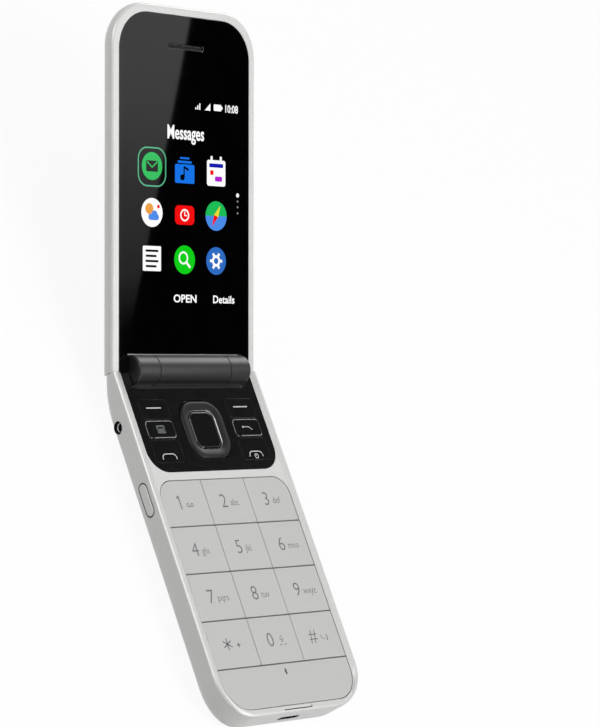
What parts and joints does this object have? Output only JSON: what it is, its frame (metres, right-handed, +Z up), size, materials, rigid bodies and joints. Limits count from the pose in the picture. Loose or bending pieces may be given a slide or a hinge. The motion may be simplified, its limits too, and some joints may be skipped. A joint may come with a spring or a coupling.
{
  "type": "flip phone",
  "caption": "Clamshell mobile phone, open: keypad base with navigation ring, hinge barrel, and a lid with a colour display inside and a small display outside.",
  "frame": {"origin": "centre of the flat back cover that the phone rests on, with the lid open", "axes": "+Z up out of the keypad, +Y from the keypad towards the hinge and the lid, +X to the right across the width"},
  "size_m": [0.0552, 0.1906, 0.0541],
  "materials": {
    "silver_paint": "satin silver metallic paint over moulded plastic",
    "black_gloss": "piano black, high gloss",
    "display_window": "hard-coated clear plastic over a black print",
    "display_panel": "liquid crystal panel with polariser",
    "graphite": "satin dark grey moulded plastic",
    "chassis_plastic": "glass-filled moulded plastic",
    "board": "green solder mask",
    "steel": "stamped steel",
    "gold_contact": "gold-plated contacts",
    "silicone": "translucent grey silicone",
    "battery_can": "foil can under a dark label",
    "flex_film": "amber polyimide film"
  },
  "bodies": {
    "base": {"base_housing": "silver_paint", "battery_cover": "silver_paint", "base_chassis": "chassis_plastic", "main_board": "board", "shield_can": "steel", "battery": "battery_can", "battery_contacts": "gold_contact", "sim_socket": "steel", "dome_sheet": "steel", "keypad_mat": "silicone", "microphone": "steel", "vibration_motor": "steel", "antenna": "chassis_plastic", "loudspeaker": "chassis_plastic", "hinge_cartridge": "steel", "base_screws": "steel", "usb_port": "steel", "headphone_jack": "chassis_plastic", "nav_deck": "black_gloss", "lower_panel": "silver_paint", "hinge_cover": "graphite", "hinge_flex": "flex_film"},
    "lid": {"lid_housing": "silver_paint", "outer_glass": "display_window", "inner_glass": "display_window", "knuckle_left": "graphite", "knuckle_right": "graphite", "outer_display": "display_panel", "lid_chassis": "chassis_plastic", "lid_board": "board", "main_display": "display_panel", "earpiece": "steel", "camera_module": "chassis_plastic", "magnet": "steel", "hinge_shaft": "steel", "hinge_sleeve": "steel", "lid_flex": "flex_film", "lid_screws": "steel"},
    "key_1": {"key_1": "silver_paint"},
    "key_2": {"key_2": "silver_paint"},
    "key_3": {"key_3": "silver_paint"},
    "key_4": {"key_4": "silver_paint"},
    "key_5": {"key_5": "silver_paint"},
    "key_6": {"key_6": "silver_paint"},
    "key_7": {"key_7": "silver_paint"},
    "key_8": {"key_8": "silver_paint"},
    "key_9": {"key_9": "silver_paint"},
    "key_star": {"key_star": "silver_paint"},
    "key_0": {"key_0": "silver_paint"},
    "key_hash": {"key_hash": "silver_paint"},
    "soft_key_left": {"soft_key_left": "black_gloss"},
    "soft_key_right": {"soft_key_right": "black_gloss"},
    "message_key": {"message_key": "black_gloss"},
    "back_key": {"back_key": "black_gloss"},
    "call_key": {"call_key": "black_gloss"},
    "end_key": {"end_key": "black_gloss"},
    "select_key": {"select_key": "black_gloss"},
    "nav_tilt": {"nav_gimbal": "silicone"},
    "nav_ring": {"nav_ring": "graphite"},
    "sos_key": {"sos_key": "silver_paint"},
    "volume_rocker": {"volume_rocker": "silver_paint"}
  },
  "joints": [
    {"name": "lid_hinge", "type": "hinge", "parent": "base", "child": "lid", "pos_m": [0, 0.04985, 0.01098], "axis": [1, 0, 0], "range_deg": [0, 154.1]},
    {"name": "key_1_press", "type": "slide", "parent": "base", "child": "key_1", "axis": [0, 0, -1], "range_m": [0, 0.0003], "stiffness_N_per_m": 3000},
    {"name": "key_2_press", "type": "slide", "parent": "base", "child": "key_2", "axis": [0, 0, -1], "range_m": [0, 0.0003], "stiffness_N_per_m": 3000},
    {"name": "key_3_press", "type": "slide", "parent": "base", "child": "key_3", "axis": [0, 0, -1], "range_m": [0, 0.0003], "stiffness_N_per_m": 3000},
    {"name": "key_4_press", "type": "slide", "parent": "base", "child": "key_4", "axis": [0, 0, -1], "range_m": [0, 0.0003], "stiffness_N_per_m": 3000},
    {"name": "key_5_press", "type": "slide", "parent": "base", "child": "key_5", "axis": [0, 0, -1], "range_m": [0, 0.0003], "stiffness_N_per_m": 3000},
    {"name": "key_6_press", "type": "slide", "parent": "base", "child": "key_6", "axis": [0, 0, -1], "range_m": [0, 0.0003], "stiffness_N_per_m": 3000},
    {"name": "key_7_press", "type": "slide", "parent": "base", "child": "key_7", "axis": [0, 0, -1], "range_m": [0, 0.0003], "stiffness_N_per_m": 3000},
    {"name": "key_8_press", "type": "slide", "parent": "base", "child": "key_8", "axis": [0, 0, -1], "range_m": [0, 0.0003], "stiffness_N_per_m": 3000},
    {"name": "key_9_press", "type": "slide", "parent": "base", "child": "key_9", "axis": [0, 0, -1], "range_m": [0, 0.0003], "stiffness_N_per_m": 3000},
    {"name": "key_star_press", "type": "slide", "parent": "base", "child": "key_star", "axis": [0, 0, -1], "range_m": [0, 0.0003], "stiffness_N_per_m": 3000},
    {"name": "key_0_press", "type": "slide", "parent": "base", "child": "key_0", "axis": [0, 0, -1], "range_m": [0, 0.0003], "stiffness_N_per_m": 3000},
    {"name": "key_hash_press", "type": "slide", "parent": "base", "child": "key_hash", "axis": [0, 0, -1], "range_m": [0, 0.0003], "stiffness_N_per_m": 3000},
    {"name": "soft_key_left_press", "type": "slide", "parent": "base", "child": "soft_key_left", "axis": [0, 0, -1], "range_m": [0, 0.0003], "stiffness_N_per_m": 3000},
    {"name": "soft_key_right_press", "type": "slide", "parent": "base", "child": "soft_key_right", "axis": [0, 0, -1], "range_m": [0, 0.0003], "stiffness_N_per_m": 3000},
    {"name": "message_key_press", "type": "slide", "parent": "base", "child": "message_key", "axis": [0, 0, -1], "range_m": [0, 0.0003], "stiffness_N_per_m": 3000},
    {"name": "back_key_press", "type": "slide", "parent": "base", "child": "back_key", "axis": [0, 0, -1], "range_m": [0, 0.0003], "stiffness_N_per_m": 3000},
    {"name": "call_key_press", "type": "slide", "parent": "base", "child": "call_key", "axis": [0, 0, -1], "range_m": [0, 0.0003], "stiffness_N_per_m": 3000},
    {"name": "end_key_press", "type": "slide", "parent": "base", "child": "end_key", "axis": [0, 0, -1], "range_m": [0, 0.0003], "stiffness_N_per_m": 3000},
    {"name": "select_key_press", "type": "slide", "parent": "base", "child": "select_key", "axis": [0, 0, -1], "range_m": [0, 0.0003], "stiffness_N_per_m": 3000},
    {"name": "nav_rock", "type": "hinge", "parent": "base", "child": "nav_tilt", "pos_m": [0, 0.03205, 0.0089], "axis": [1, 0, 0], "range_deg": [-1.2, 1.2], "stiffness_Nm_per_rad": 0.4},
    {"name": "nav_roll", "type": "hinge", "parent": "nav_tilt", "child": "nav_ring", "pos_m": [0, 0.03205, 0.00905], "axis": [0, 1, 0], "range_deg": [-1.2, 1.2], "stiffness_Nm_per_rad": 0.4},
    {"name": "sos_key_press", "type": "slide", "parent": "base", "child": "sos_key", "axis": [1, 0, 0], "range_m": [0, 0.0003], "stiffness_N_per_m": 3000},
    {"name": "volume_rock", "type": "hinge", "parent": "base", "child": "volume_rocker", "pos_m": [0.0265, 0.01335, 0.00765], "axis": [0, 0, 1], "range_deg": [-1.3, 1.3], "stiffness_Nm_per_rad": 0.4}
  ]
}
